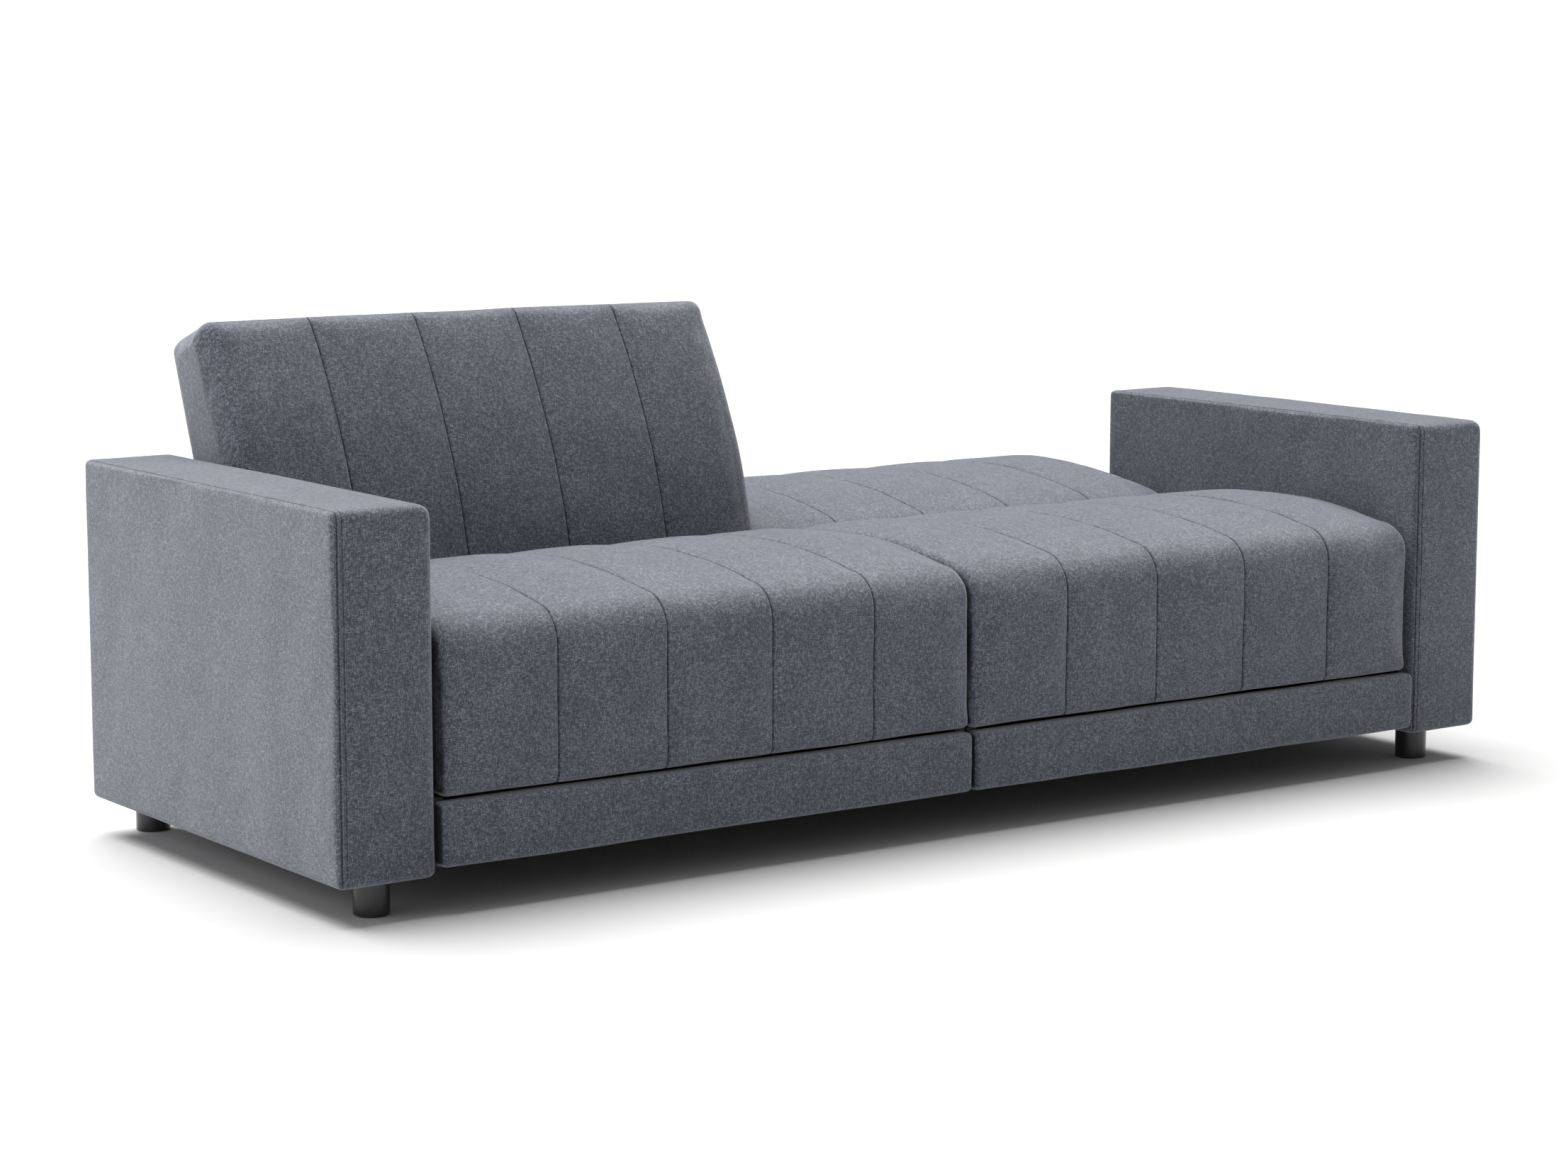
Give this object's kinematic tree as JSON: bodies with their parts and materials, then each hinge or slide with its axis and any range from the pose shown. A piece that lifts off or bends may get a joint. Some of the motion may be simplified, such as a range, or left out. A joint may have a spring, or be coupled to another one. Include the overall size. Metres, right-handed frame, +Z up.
{
  "type": "futon sofa bed",
  "caption": "Track-arm sofa bed with channel-sewn seats and split backs that each recline from upright to flat on notched hinges.",
  "frame": {"origin": "on the floor, under the middle of the box that holds the sofa with its left back upright and its right back flat", "axes": "+X along the sofa to a sitter's left, -Y the way a sitter faces, +Z up"},
  "size_m": [2.1, 1.108, 0.75],
  "materials": {
    "upholstery": "heathered linen-look weave, slate blue-grey",
    "foam": "open-cell foam",
    "timber": "planed softwood and plywood",
    "fibreboard": "hardboard",
    "dark_steel": "black powder coat",
    "zinc_steel": "bright zinc",
    "black_plastic": "glossy moulded",
    "webbing": "elastic webbing",
    "dust_cloth": "non-woven cloth"
  },
  "bodies": {
    "base": {"arm_frame_left": "timber", "arm_frame_right": "timber", "arm_panels_left": "fibreboard", "arm_panels_right": "fibreboard", "arm_cover_left": "upholstery", "arm_cover_right": "upholstery", "foot_front_left": "black_plastic", "foot_front_right": "black_plastic", "foot_rear_left": "black_plastic", "foot_rear_right": "black_plastic", "centre_feet": "black_plastic", "foot_bolts": "zinc_steel", "front_rail_left": "timber", "front_rail_right": "timber", "front_rail_cover_left": "upholstery", "front_rail_cover_right": "upholstery", "rear_panel_left": "timber", "rear_panel_right": "timber", "rear_panel_cover_left": "upholstery", "rear_panel_cover_right": "upholstery", "side_rail_left": "timber", "side_rail_right": "timber", "centre_rail_left": "timber", "centre_rail_right": "timber", "dust_cover_left": "dust_cloth", "dust_cover_right": "dust_cloth", "seat_frame_left": "timber", "seat_frame_right": "timber", "seat_springs_left": "zinc_steel", "seat_springs_right": "zinc_steel", "seat_foam_left": "foam", "seat_foam_right": "foam", "seat_cover_left": "upholstery", "seat_cover_right": "upholstery", "hinge_plates_left": "dark_steel", "hinge_plates_right": "dark_steel", "hinge_pins": "zinc_steel", "hinge_blocks": "timber", "arm_bolts": "zinc_steel", "hinge_bolts": "zinc_steel"},
    "left_back": {"back_frame_left": "timber", "back_webbing_left": "webbing", "back_foam_left": "foam", "back_cover_left": "upholstery", "back_rear_panel_left": "upholstery", "hinge_arms_left": "dark_steel", "pawl_pins_left": "zinc_steel", "pawl_springs_left": "zinc_steel"},
    "right_back": {"back_frame_right": "timber", "back_webbing_right": "webbing", "back_foam_right": "foam", "back_cover_right": "upholstery", "back_rear_panel_right": "upholstery", "hinge_arms_right": "dark_steel", "pawl_pins_right": "zinc_steel", "pawl_springs_right": "zinc_steel"},
    "left_outer_pawl": {"pawl_left_outer": "zinc_steel"},
    "left_inner_pawl": {"pawl_left_inner": "zinc_steel"},
    "right_outer_pawl": {"pawl_right_outer": "zinc_steel"},
    "right_inner_pawl": {"pawl_right_inner": "zinc_steel"}
  },
  "joints": [
    {"name": "left_back_recline", "type": "hinge", "parent": "base", "child": "left_back", "pos_m": [-0.4455, 0.091, 0.282], "axis": [1, 0, 0], "range_deg": [-69, 0]},
    {"name": "right_back_recline", "type": "hinge", "parent": "base", "child": "right_back", "pos_m": [0.4455, 0.091, 0.282], "axis": [1, 0, 0], "range_deg": [0, 69]},
    {"name": "left_outer_pawl_click", "type": "hinge", "parent": "left_back", "child": "left_outer_pawl", "pos_m": [-0.86885, 0.07216, 0.32779], "axis": [1, 0, 0], "range_deg": [-7.5, 0], "stiffness_Nm_per_rad": 0.1, "springref_deg": -57.3},
    {"name": "left_inner_pawl_click", "type": "hinge", "parent": "left_back", "child": "left_inner_pawl", "pos_m": [-0.02215, 0.07216, 0.32779], "axis": [1, 0, 0], "range_deg": [-7.5, 0], "stiffness_Nm_per_rad": 0.1, "springref_deg": -57.3},
    {"name": "right_outer_pawl_click", "type": "hinge", "parent": "right_back", "child": "right_outer_pawl", "pos_m": [0.86885, 0.127, 0.316], "axis": [1, 0, 0], "range_deg": [-7.5, 0], "stiffness_Nm_per_rad": 0.1, "springref_deg": -57.3},
    {"name": "right_inner_pawl_click", "type": "hinge", "parent": "right_back", "child": "right_inner_pawl", "pos_m": [0.02215, 0.127, 0.316], "axis": [1, 0, 0], "range_deg": [-7.5, 0], "stiffness_Nm_per_rad": 0.1, "springref_deg": -57.3}
  ],
  "couplings": [
    {"joint": "left_inner_pawl_click", "follows": "left_outer_pawl_click", "ratio": 1},
    {"joint": "right_inner_pawl_click", "follows": "right_outer_pawl_click", "ratio": 1}
  ]
}
